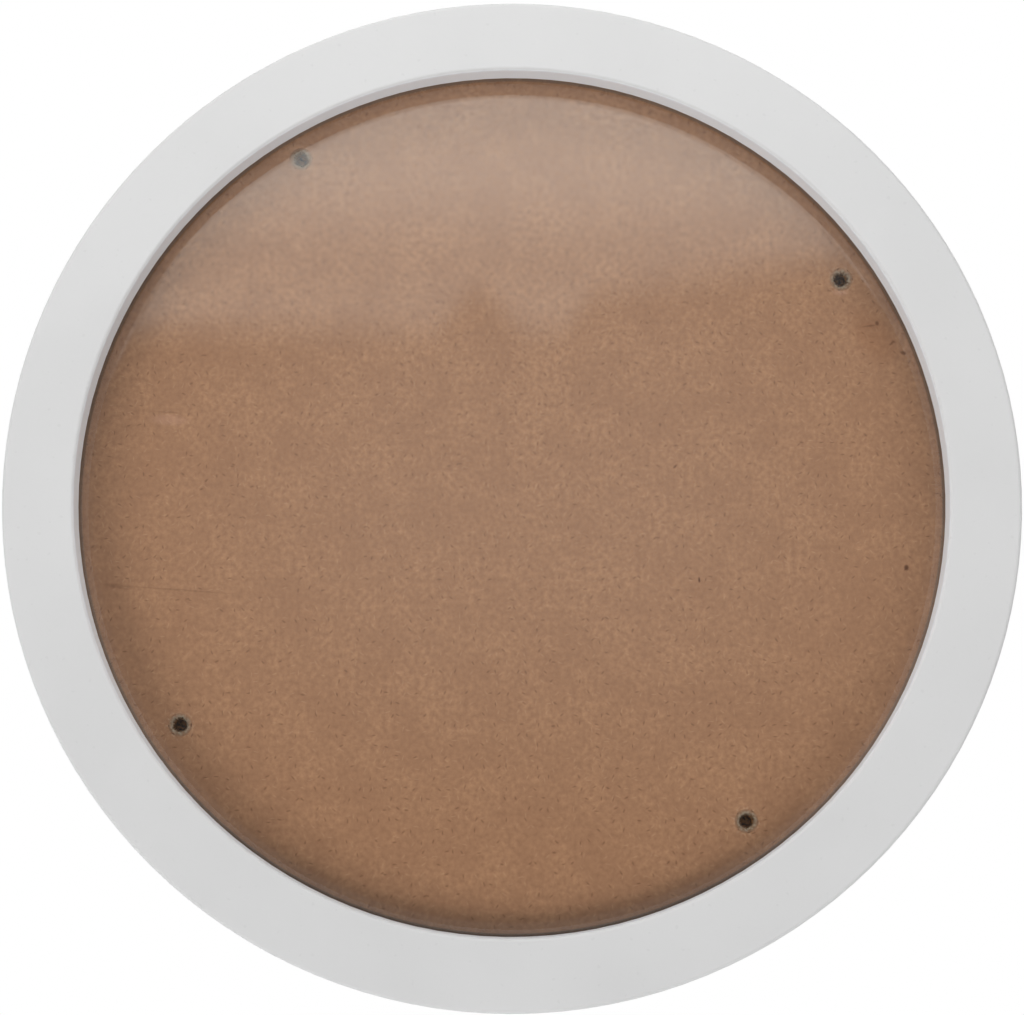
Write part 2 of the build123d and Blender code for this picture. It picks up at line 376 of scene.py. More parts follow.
def scattered_fibres(tree, place, spacing, length, width, chance_of_one):
    """Short straight fibres: one in each cell of a scattered grid, turned its own way, or none."""
    inputs = {"Vector": place, "Scale": 1 / spacing}
    cells = add_node(tree, "ShaderNodeTexVoronoi", inputs, voronoi_dimensions="2D").outputs
    chance = add_node(tree, "ShaderNodeSeparateColor", {0: cells["Color"]}).outputs
    offset = add_node(tree, "ShaderNodeVectorMath", {0: place, 1: cells["Position"]}, operation="SUBTRACT")
    angle = add_node(tree, "ShaderNodeMath", {0: chance["Red"], 1: math.pi}, operation="MULTIPLY")
    inputs = {"Vector": offset, "Angle": angle}
    turned = add_node(tree, "ShaderNodeVectorRotate", inputs, rotation_type="Z_AXIS")
    reach = scaled_length(tree, turned, (2 / length, 2 / width, 0))
    inputs = {"Value": reach, "From Min": 1.0, "From Max": FIBRE_CORE}
    fibre = add_node(tree, "ShaderNodeMapRange", inputs, **SOFTLY)
    present = add_node(tree, "ShaderNodeMath", {0: chance["Green"], 1: chance_of_one}, operation="LESS_THAN")
    return add_node(tree, "ShaderNodeMath", {0: fibre, 1: present}, operation="MULTIPLY")


def soft_mark(tree, place, across, up, length, width, turn, strength):
    """How strongly a long or round mark shows: most in its middle, and nothing at its edge."""
    inputs = {
        "Vector": place,
        "Location": (across, up, 0),
        "Rotation": (0, 0, math.radians(turn)),
        "Scale": (length / 2, width / 2, 1),
    }
    mark = add_node(tree, "ShaderNodeMapping", inputs, vector_type="TEXTURE")
    reach = scaled_length(tree, mark, (1, 1, 0))
    inputs = {"Value": reach, "From Min": 1.0, "From Max": MARK_CORE, "To Max": strength}
    return add_node(tree, "ShaderNodeMapRange", inputs, **SOFTLY)


def all_marks(tree, place, marks):
    """Several soft marks together, with their sizes in millimetres."""
    total = None
    for across, up, length, width, turn, strength in marks:
        mark = soft_mark(tree, place, across * MM, up * MM, length * MM, width * MM, turn, strength)
        if total is not None:
            mark = add_node(tree, "ShaderNodeMath", {0: total, 1: mark}, operation="MAXIMUM")
        total = mark
    return total


def pressed_fibres(tree, place, dark, light):
    """Colour and height of raw fibreboard: matted fibres, soft blotches, pale shreds and dark flecks."""
    inputs = {"Vector": place, "Scale": 1 / MATTED_SIZE, "Detail": 2.0, "Roughness": 0.55}
    matted = add_node(tree, "ShaderNodeTexNoise", inputs, noise_dimensions="2D")
    inputs = {"Value": matted, "From Min": MATTED_DARK, "From Max": MATTED_LIGHT}
    share = add_node(tree, "ShaderNodeMapRange", inputs)
    inputs = {SHARE: share, UNDER: srgb(dark), OVER: srgb(light)}
    colour = add_node(tree, "ShaderNodeMix", inputs, data_type="RGBA").outputs[MIXED]
    inputs = {"Vector": place, "Scale": 1 / BLOTCH_SIZE, "Detail": 2.0, "Roughness": 0.9}
    blotch = add_node(tree, "ShaderNodeTexNoise", inputs, noise_dimensions="2D")
    inputs = {"Value": blotch, "From Min": BLOTCH_FROM, "From Max": BLOTCH_FULL, "To Max": BLOTCH_SHARE}
    share = add_node(tree, "ShaderNodeMapRange", inputs)
    inputs = {SHARE: share, UNDER: colour, OVER: srgb(dark)}
    colour = add_node(tree, "ShaderNodeMix", inputs, data_type="RGBA").outputs[MIXED]
    for spacing, length, width, chance, strength, shade in (PALE_SHREDS, DARK_FLECKS):
        fibres = scattered_fibres(tree, place, spacing * MM, length * MM, width * MM, chance)
        share = add_node(tree, "ShaderNodeMath", {0: fibres, 1: strength}, operation="MULTIPLY")
        inputs = {SHARE: share, UNDER: colour, OVER: srgb(shade)}
        colour = add_node(tree, "ShaderNodeMix", inputs, data_type="RGBA").outputs[MIXED]
    return colour, matted


def satin_lacquer_on_fibreboard():
    """White lacquer, sprayed on fibreboard: satin with a faint orange peel. Raw behind, with overspray."""
    material, tree = new_material("satin_lacquer_on_fibreboard")
    place = face_on(tree)
    radius = radius_from_axis(tree, place)
    towards = add_node(tree, "ShaderNodeSeparateXYZ", {0: place}).outputs["Z"]

    # Where the ring is painted: in front, outside, and behind as far as the overspray reaches
    inputs = {"Vector": place, "Scale": 1 / OVERSPRAY_GRAIN, "Detail": 4.0, "Roughness": 0.7}
    spray = add_node(tree, "ShaderNodeTexNoise", inputs)
    inputs = {0: spray, 1: OVERSPRAY_REACH, 2: radius}
    sprayed = add_node(tree, "ShaderNodeMath", inputs, operation="MULTIPLY_ADD")
    outer_start = OVERSPRAY_RADIUS + OVERSPRAY_REACH / 4
    inputs = {"Value": sprayed, "From Min": outer_start, "From Max": outer_start + OVERSPRAY_REACH / 2}
    outer = add_node(tree, "ShaderNodeMapRange", inputs, **SOFTLY)
    lacquer_end = ring_half_depth - LACQUER_DEPTH
    inputs = {
        "Value": towards,
        "From Min": lacquer_end - LACQUER_END_SOFT,
        "From Max": lacquer_end + LACQUER_END_SOFT,
    }
    front = add_node(tree, "ShaderNodeMapRange", inputs, **SOFTLY)
    painted = add_node(tree, "ShaderNodeMath", {0: outer, 1: front}, operation="MAXIMUM")

    # The lacquer's colour: faintly cloudy, with grey specks, and with painted light that makes the lip's wall
    # whiter
    inputs = {"Vector": place, "Scale": 1 / LACQUER_CLOUD_SIZE, "Detail": 2.0}
    cloud = add_node(tree, "ShaderNodeTexNoise", inputs)
    inputs = {"Value": cloud, "From Min": NOISE_LOW, "From Max": NOISE_HIGH}
    share = add_node(tree, "ShaderNodeMapRange", inputs, **SOFTLY)
    inputs = {SHARE: share, UNDER: srgb(LACQUER_COLOURS[0]), OVER: srgb(LACQUER_COLOURS[1])}
    lacquer = add_node(tree, "ShaderNodeMix", inputs, data_type="RGBA").outputs[MIXED]
    inputs = {"Vector": place, "Scale": 1 / SPECK_SIZE, "Detail": 0.0}
    speck = add_node(tree, "ShaderNodeTexNoise", inputs)
    inputs = {"Value": speck, "From Min": SPECK_FROM, "From Max": SPECK_FULL, "To Max": SPECK_SHARE}
    share = add_node(tree, "ShaderNodeMapRange", inputs, **SOFTLY)
    inputs = {SHARE: share, UNDER: lacquer, OVER: srgb(SPECK_COLOUR)}
    lacquer = add_node(tree, "ShaderNodeMix", inputs, data_type="RGBA").outputs[MIXED]
    inputs = {"Value": radius, "From Min": LIP_WALL_RADIUS + LIP_EDGE_ROUND, "From Max": LIP_WALL_RADIUS}
    lip_wall_painted_light = add_node(tree, "ShaderNodeMapRange", inputs, **SOFTLY)
    inputs = {SHARE: lip_wall_painted_light, UNDER: lacquer, OVER: srgb(LIP_WALL_PAINTED_LIGHT_COLOUR)}
    lacquer = add_node(tree, "ShaderNodeMix", inputs, data_type="RGBA").outputs[MIXED]

    # Colour, orange peel and shine of the lacquer over those of the raw fibreboard
    raw, raw_height = pressed_fibres(tree, place, *RING_FIBRE_COLOURS)
    inputs = {SHARE: painted, UNDER: raw, OVER: lacquer}
    colour = add_node(tree, "ShaderNodeMix", inputs, data_type="RGBA").outputs[MIXED]
    peel = add_node(tree, "ShaderNodeTexNoise", {"Vector": place, "Scale": 1 / PEEL_SIZE, "Detail": 1.0})
    inputs = {SHARE: painted, UNDER_NUMBER: raw_height, OVER_NUMBER: peel}
    height = add_node(tree, "ShaderNodeMix", inputs, data_type="FLOAT")
    bump = add_node(tree, "ShaderNodeBump", {"Strength": 0.35, "Distance": PEEL_HEIGHT, "Height": height})
    low, high = LACQUER_SHINE
    inputs = {"Value": cloud, "From Min": NOISE_LOW, "From Max": NOISE_HIGH, "To Min": low, "To Max": high}
    shine = add_node(tree, "ShaderNodeMapRange", inputs)
    inputs = {SHARE: painted, UNDER_NUMBER: RAW_ROUGHNESS, OVER_NUMBER: shine}
    roughness = add_node(tree, "ShaderNodeMix", inputs, data_type="FLOAT")
    inputs = {"Base Color": colour, "Roughness": roughness, "IOR": 1.50, "Normal": bump}
    shader = add_node(tree, "ShaderNodeBsdfPrincipled", inputs)
    add_node(tree, "ShaderNodeOutputMaterial", {"Surface": shader})
    return material


def cast_acrylic():
    """Clear cast acrylic: a hard mirror-like shine, in which a slightly bent sheet bends what it mirrors."""
    material, tree = new_material("cast_acrylic")
    place = face_on(tree)
    parts = add_node(tree, "ShaderNodeSeparateXYZ", {0: place}).outputs
    radius = radius_from_axis(tree, place)
    inputs = {"Vector": place, "Scale": 1 / PANE_WAVE_SIZE, "Detail": 1.0}
    waves = add_node(tree, "ShaderNodeTexNoise", inputs)
    waves = add_node(tree, "ShaderNodeMath", {0: waves, 1: PANE_WAVE_HEIGHT}, operation="MULTIPLY")

    # The bend: flat up to where it starts, then falling away evenly, with a soft change between. It is half
    # the sum of the distance from its start and that distance's softened size, times the slope.
    upward = add_node(tree, "ShaderNodeMath", {0: parts["Y"], 1: radius}, operation="DIVIDE")
    inputs = {"Value": upward, "From Min": PANE_TOP_FROM, "From Max": PANE_TOP_FULL}
    at_top = add_node(tree, "ShaderNodeMapRange", inputs, **SOFTLY)
    inputs = {0: at_top, 1: PANE_BEND_START_TOP - PANE_BEND_START, 2: PANE_BEND_START}
    start = add_node(tree, "ShaderNodeMath", inputs, operation="MULTIPLY_ADD")
    beyond = add_node(tree, "ShaderNodeMath", {0: radius, 1: start}, operation="SUBTRACT")
    squared = add_node(tree, "ShaderNodeMath", {0: beyond, 1: 2.0}, operation="POWER")
    reach = add_node(tree, "ShaderNodeMath", {0: squared, 1: PANE_BEND_REACH ** 2}, operation="ADD")
    reach = add_node(tree, "ShaderNodeMath", {0: reach}, operation="SQRT")
    bend = add_node(tree, "ShaderNodeMath", {0: beyond, 1: reach}, operation="ADD")
    inputs = {"Value": upward, "From Max": -1.0, "To Min": PANE_BEND_ASIDE, "To Max": PANE_BEND_BOTTOM}
    slope = add_node(tree, "ShaderNodeMapRange", inputs)
    inputs = {0: at_top, 1: PANE_BEND_TOP - PANE_BEND_ASIDE, 2: slope}
    slope = add_node(tree, "ShaderNodeMath", inputs, operation="MULTIPLY_ADD")
    bend = add_node(tree, "ShaderNodeMath", {0: bend, 1: slope}, operation="MULTIPLY")
    bend = add_node(tree, "ShaderNodeMath", {0: bend, 1: 0.5}, operation="MULTIPLY")
    height = add_node(tree, "ShaderNodeMath", {0: waves, 1: bend}, operation="SUBTRACT")

    # Both faces of the sheet bend the same way, so the height turns over on the back one
    front = add_node(tree, "ShaderNodeMath", {0: parts["Z"], 1: pane_middle}, operation="GREATER_THAN")
    side = add_node(tree, "ShaderNodeMath", {0: front, 1: 2.0, 2: -1.0}, operation="MULTIPLY_ADD")
    height = add_node(tree, "ShaderNodeMath", {0: height, 1: side}, operation="MULTIPLY")
    bump = add_node(tree, "ShaderNodeBump", {"Strength": 1.0, "Distance": 1.0, "Height": height})
    inputs = {
        "Base Color": srgb(PANE_COLOUR),
        "Roughness": 0.0,
        "IOR": 1.49,
        "Transmission Weight": 1.0,
        "Normal": bump,
    }
    clear = add_node(tree, "ShaderNodeBsdfPrincipled", inputs)

    # Light on its way to the board goes straight through
    open_way = add_node(tree, "ShaderNodeBsdfTransparent", {"Color": srgb(PANE_COLOUR)})
    path = add_node(tree, "ShaderNodeLightPath").outputs
    inputs = {0: path["Is Shadow Ray"], 1: path["Is Diffuse Ray"]}
    lamp_light = add_node(tree, "ShaderNodeMath", inputs, operation="MAXIMUM")
    shader = add_node(tree, "ShaderNodeMixShader", {0: lamp_light, 1: clear, 2: open_way})
    add_node(tree, "ShaderNodeOutputMaterial", {"Surface": shader})
    return material


def raw_fibreboard():
    """Raw pressed fibreboard: dull, brown and fibrous, with marks of use and painted shade along the lip."""
    material, tree = new_material("raw_fibreboard")
    place = face_on(tree)
    parts = add_node(tree, "ShaderNodeSeparateXYZ", {0: place}).outputs
    clean, height = pressed_fibres(tree, place, *BOARD_FIBRE_COLOURS)
    layers = []
    kinds = ((RUSTY_MARKS, RUSTY_COLOUR), (DARK_MARKS, DARK_COLOUR), (PALE_MARKS, PALE_COLOUR))
    for marks, shade in kinds:
        layers.append((all_marks(tree, place, marks), srgb(shade)))

    # Fibres crushed and torn by the rivets
    rivet_marks = []
    for number in RIVET_NUMBERS:
        low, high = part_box(f"rivet_{number}")
        middle = (low + high) / 2 - ring_centre
        crushed_size = CRUSHED_DIAMETER / MM
        rivet_marks.append((middle.x / MM, middle.z / MM, crushed_size, crushed_size, 0.0, CRUSHED_SHARE))
    crushed = all_marks(tree, place, rivet_marks)
    inputs = {"Vector": place, "Scale": 1 / TORN_SIZE, "Detail": 2.0}
    torn = add_node(tree, "ShaderNodeTexNoise", inputs, noise_dimensions="2D")
    inputs = {"Value": torn, "From Min": TORN_FROM, "From Max": TORN_FULL}
    torn = add_node(tree, "ShaderNodeMapRange", inputs, **SOFTLY)
    share = add_node(tree, "ShaderNodeMath", {0: crushed, 1: torn}, operation="MULTIPLY")
    layers.append((share, srgb(TORN_COLOUR)))

    # Painted shade along the lip, darker towards the bottom: a band low down, and a line all round
    inputs = {"Value": parts["Y"], "From Min": -LIP_SHADE_RADIUS / 2, "From Max": -LIP_SHADE_RADIUS}
    toward_bottom = add_node(tree, "ShaderNodeMapRange", inputs, **SOFTLY)
    shade_band_most = add_node(tree, "ShaderNodeMath", {0: toward_bottom, 1: LIP_SHADE_BAND_SHARE}, operation="MULTIPLY")
    inputs = {"Value": toward_bottom, "To Min": LIP_SHADE_LINE_ASIDE, "To Max": LIP_SHADE_LINE_SHARE}
    shade_line_most = add_node(tree, "ShaderNodeMapRange", inputs)
    edge = radius_from_axis(tree, place, LIP_SHADE_RISE)
    inputs = {"Value": edge, "From Min": LIP_SHADE_BAND_START, "From Max": LIP_SHADE_BAND_END, "To Max": shade_band_most}
    shade_band = add_node(tree, "ShaderNodeMapRange", inputs, **SOFTLY)
    inputs = {
        "Value": edge,
        "From Min": LIP_SHADE_RADIUS - LIP_SHADE_SOFT,
        "From Max": LIP_SHADE_RADIUS + LIP_SHADE_SOFT,
        "To Max": shade_line_most,
    }
    line = add_node(tree, "ShaderNodeMapRange", inputs, **SOFTLY)
    inputs = {SHARE: toward_bottom, UNDER: srgb(LIP_SHADE_LINE_COLOUR), OVER: srgb(LIP_SHADE_LINE_LOW_COLOUR)}
    shade_line_colour = add_node(tree, "ShaderNodeMix", inputs, data_type="RGBA").outputs[MIXED]
    layers += [(shade_band, srgb(LIP_SHADE_BAND_COLOUR)), (line, shade_line_colour)]

    # All layers over the clean board, on its front alone
    colour = clean
    for share, shade in layers:
        inputs = {SHARE: share, UNDER: colour, OVER: shade}
        colour = add_node(tree, "ShaderNodeMix", inputs, data_type="RGBA").outputs[MIXED]
    front = add_node(tree, "ShaderNodeMath", {0: parts["Z"], 1: board_middle}, operation="GREATER_THAN")
    inputs = {SHARE: front, UNDER: clean, OVER: colour}
    colour = add_node(tree, "ShaderNodeMix", inputs, data_type="RGBA").outputs[MIXED]
    inputs = {"Strength": 0.4, "Distance": BOARD_FIBRE_HEIGHT, "Height": height}
    bump = add_node(tree, "ShaderNodeBump", inputs)
    inputs = {"Base Color": colour, "Roughness": RAW_ROUGHNESS, "IOR": 1.45, "Normal": bump}
    shader = add_node(tree, "ShaderNodeBsdfPrincipled", inputs)
    add_node(tree, "ShaderNodeOutputMaterial", {"Surface": shader})
    return material


def plated_steel(name, bright, dull, roughness):
    """Plated steel, rolled or drawn: a soft metal shine with cloudy patches and fine streaks."""
    material, tree = new_material(name)
    place = add_node(tree, "ShaderNodeTexCoord").outputs["Object"]
    inputs = {"Vector": place, "Scale": 1 / PLATING_CLOUD_SIZE, "Detail": 3.0}
    cloud = add_node(tree, "ShaderNodeTexNoise", inputs)
    inputs = {"Value": cloud, "From Min": NOISE_LOW, "From Max": NOISE_HIGH}
    share = add_node(tree, "ShaderNodeMapRange", inputs)
    inputs = {SHARE: share, UNDER: srgb(bright), OVER: srgb(dull)}
    colour = add_node(tree, "ShaderNodeMix", inputs, data_type="RGBA").outputs[MIXED]
    rolled = add_node(tree, "ShaderNodeMapping", {"Vector": place, "Scale": (1, 1, ROLLING_NARROWNESS)})
    inputs = {"Vector": rolled, "Scale": 1 / ROLLING_LENGTH, "Detail": 2.0}
    marks = add_node(tree, "ShaderNodeTexNoise", inputs)
    bump = add_node(tree, "ShaderNodeBump", {"Strength": 0.3, "Distance": ROLLING_HEIGHT, "Height": marks})
    inputs = {
        "Value": marks,
        "From Min": NOISE_LOW,
        "From Max": NOISE_HIGH,
        "To Min": roughness - ROLLING_SMOOTHER,
        "To Max": roughness + ROLLING_DULLER,
    }
    shine = add_node(tree, "ShaderNodeMapRange", inputs)
    inputs = {"Base Color": colour, "Metallic": 1.0, "Roughness": shine, "Normal": bump}
    shader = add_node(tree, "ShaderNodeBsdfPrincipled", inputs)
    add_node(tree, "ShaderNodeOutputMaterial", {"Surface": shader})
    return material


def dusty_rivet_steel():
    """Plated rivet steel: board dust on the torn clinched end, grime and painted shade in the bore, and a
    bare head behind.
    """
    material, tree = new_material("dusty_rivet_steel")
    place = add_node(tree, "ShaderNodeTexCoord").outputs["Object"]
    depth = add_node(tree, "ShaderNodeSeparateXYZ", {0: place}).outputs["Y"]
    inputs = {"Vector": place, "Scale": 1 / RIVET_CLOUD_SIZE, "Detail": 3.0}
    cloud = add_node(tree, "ShaderNodeTexNoise", inputs)
    inputs = {"Value": cloud, "From Min": RIVET_CLOUD_FROM, "From Max": RIVET_CLOUD_FULL}
    share = add_node(tree, "ShaderNodeMapRange", inputs, **SOFTLY)
    inputs = {SHARE: share, UNDER: srgb(CLINCH_COLOURS[0]), OVER: srgb(CLINCH_COLOURS[1])}
    colour = add_node(tree, "ShaderNodeMix", inputs, data_type="RGBA").outputs[MIXED]
    dust_and_bore_shade = add_node(tree, "ShaderNodeAttribute", attribute_name="rivet_dust_and_bore_shade").outputs["Fac"]
    inputs = {
        "Value": dust_and_bore_shade,
        "From Min": PETAL_DUST_FROM,
        "From Max": PETAL_DUST_FULL,
        "To Max": PETAL_DUST_SHARE,
    }
    dust = add_node(tree, "ShaderNodeMapRange", inputs, **SOFTLY)
    # The bore darkened by grime and by painted shade
    grime_and_painted_shade = add_node(tree, "ShaderNodeMapRange", {"Value": dust_and_bore_shade})
    inputs = {SHARE: share, UNDER: srgb(BORE_GRIME_AND_SHADE_COLOURS[0]), OVER: srgb(BORE_GRIME_AND_SHADE_COLOURS[1])}
    bore = add_node(tree, "ShaderNodeMix", inputs, data_type="RGBA").outputs[MIXED]
    head_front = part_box("rivet_1")[1].y - RIVET_HEAD_HEIGHT
    inputs = {"Value": depth, "From Min": head_front - RIVET_HEAD_SOFT, "From Max": head_front}
    head = add_node(tree, "ShaderNodeMapRange", inputs, **SOFTLY)
    layers = ((dust, srgb(PETAL_DUST_COLOUR)), (grime_and_painted_shade, bore), (head, srgb(RIVET_HEAD_COLOUR)))
    for share, shade in layers:
        inputs = {SHARE: share, UNDER: colour, OVER: shade}
        colour = add_node(tree, "ShaderNodeMix", inputs, data_type="RGBA").outputs[MIXED]
    metal = add_node(tree, "ShaderNodeMapRange", {"Value": head, "To Min": RIVET_DUSTY_METAL, "To Max": 1.0})
    low, high = RIVET_SHINE
    inputs = {"Value": cloud, "From Min": NOISE_LOW, "From Max": NOISE_HIGH, "To Min": low, "To Max": high}
    shine = add_node(tree, "ShaderNodeMapRange", inputs)
    bump = add_node(tree, "ShaderNodeBump", {"Strength": 0.4, "Distance": RIVET_PIT_HEIGHT, "Height": cloud})
    inputs = {"Base Color": colour, "Metallic": metal, "Roughness": shine, "Normal": bump}
    shader = add_node(tree, "ShaderNodeBsdfPrincipled", inputs)
    add_node(tree, "ShaderNodeOutputMaterial", {"Surface": shader})
    return material


def soft_rubber():
    """Moulded soft rubber: milky, smooth and a little dull, with a fine skin."""
    material, tree = new_material("soft_rubber")
    place = add_node(tree, "ShaderNodeTexCoord").outputs["Object"]
    inputs = {"Vector": place, "Scale": 1 / RUBBER_CLOUD_SIZE, "Detail": 2.0}
    cloud = add_node(tree, "ShaderNodeTexNoise", inputs)
    inputs = {SHARE: cloud, UNDER: srgb(RUBBER_COLOURS[0]), OVER: srgb(RUBBER_COLOURS[1])}
    colour = add_node(tree, "ShaderNodeMix", inputs, data_type="RGBA").outputs[MIXED]
    low, high = RUBBER_SHINE
    inputs = {"Value": cloud, "From Min": NOISE_LOW, "From Max": NOISE_HIGH, "To Min": low, "To Max": high}
    shine = add_node(tree, "ShaderNodeMapRange", inputs)
    inputs = {"Vector": place, "Scale": 1 / RUBBER_SKIN_SIZE, "Detail": 1.0}
    skin = add_node(tree, "ShaderNodeTexNoise", inputs)
    bump = add_node(tree, "ShaderNodeBump", {"Strength": 0.3, "Distance": RUBBER_SKIN_HEIGHT, "Height": skin})
    inputs = {"Base Color": colour, "Roughness": shine, "IOR": 1.50, "Normal": bump}
    shader = add_node(tree, "ShaderNodeBsdfPrincipled", inputs)
    add_node(tree, "ShaderNodeOutputMaterial", {"Surface": shader})
    return material


def keep_with_material(name, material):
    """A node of the part that keeps its shape and gets its finish."""
    slots = nodes[name].data.materials
    slots.clear()
    slots.append(material)


def piece_from_mesh(mesh, name, material):
    """A finished piece that stands for the node of the same name and moves with its body."""
    mesh.materials.clear()
    mesh.materials.append(material)
    piece = bpy.data.objects.new(f"{name}_finished", mesh)
    bpy.context.scene.collection.objects.link(piece)
    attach(piece, nodes[name]["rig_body"])
    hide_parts(name)


def evaluated_mesh(source):
    """The plain mesh that an object's modifiers make. The object itself is removed."""
    graph = bpy.context.evaluated_depsgraph_get()
    mesh = bpy.data.meshes.new_from_object(source.evaluated_get(graph))
    bpy.data.objects.remove(source)
    return mesh


def pressed_piece(name, material):
    """A node of sheet steel with its cut edges rounded over."""
    mesh = nodes[name].data.copy()
    shape = bmesh.new()
    shape.from_mesh(mesh)
    bmesh.ops.remove_doubles(shape, verts=shape.verts, dist=MERGE_DISTANCE)
    bmesh.ops.dissolve_limit(shape, angle_limit=FLAT_ANGLE, verts=shape.verts, edges=shape.edges)
    shape.to_mesh(mesh)
    shape.free()
    source = bpy.data.objects.new(f"{name}_sheet", mesh)
    bpy.context.scene.collection.objects.link(source)
    edges = source.modifiers.new("rounded_edges", "BEVEL")
    edges.width = SHEET_EDGE_ROUND
    edges.segments = SHEET_EDGE_STEPS
    edges.limit_method = "ANGLE"
    edges.angle_limit = CREASE_ANGLE
    mesh = evaluated_mesh(source)
    mesh.shade_smooth()
    mesh.set_sharp_from_angle(angle=CREASE_ANGLE)
    piece_from_mesh(mesh, name, material)


def arc(centre, across, along, start, end):
    """Points on part of an ellipse, as (radius, depth), between two angles in degrees."""
    points = []
    for step in range(ARC_STEPS + 1):
        angle = math.radians(start + (end - start) * step / ARC_STEPS)
        points.append((centre[0] + across * math.cos(angle), centre[1] + along * math.sin(angle)))
    return points


def rivet_profile(front, back):
    """The rivet's outline from the bottom of its bore, over the clinched end, to the top of its head."""
    low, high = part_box("rivet_1")
    head = (high.x - low.x) / 2
    bore = RIVET_BORE / 2
    shank = RIVET_SHANK / 2
    mouth = CLINCH_MOUTH / 2
    clinch = CLINCH_DIAMETER / 2
    bore_end = back - RIVET_SOLID_END
    head_front = back - RIVET_HEAD_HEIGHT
    clinch_back = front + CLINCH_HEIGHT
    roll = (clinch - mouth) * CLINCH_CREST
    crest = mouth + roll
    flat = head * RIVET_HEAD_FLAT
    points = [(0, bore_end), (bore, bore_end), (bore, front + 2 * CLINCH_HEIGHT)]
    points += arc((crest, clinch_back), roll, CLINCH_HEIGHT, 180, 270)
    for step in range(1, ARC_STEPS + 1):
        share = step / ARC_STEPS
        points.append((crest + (clinch - crest) * share, front + CLINCH_DROOP * share * share))
    points += [(clinch, clinch_back), (shank, clinch_back), (shank, head_front), (head, head_front)]
    points += arc((flat, head_front), head - flat, RIVET_HEAD_HEIGHT, RIVET_HEAD_RIM_ANGLE, 90)
    points += [(0, back)]
    return points


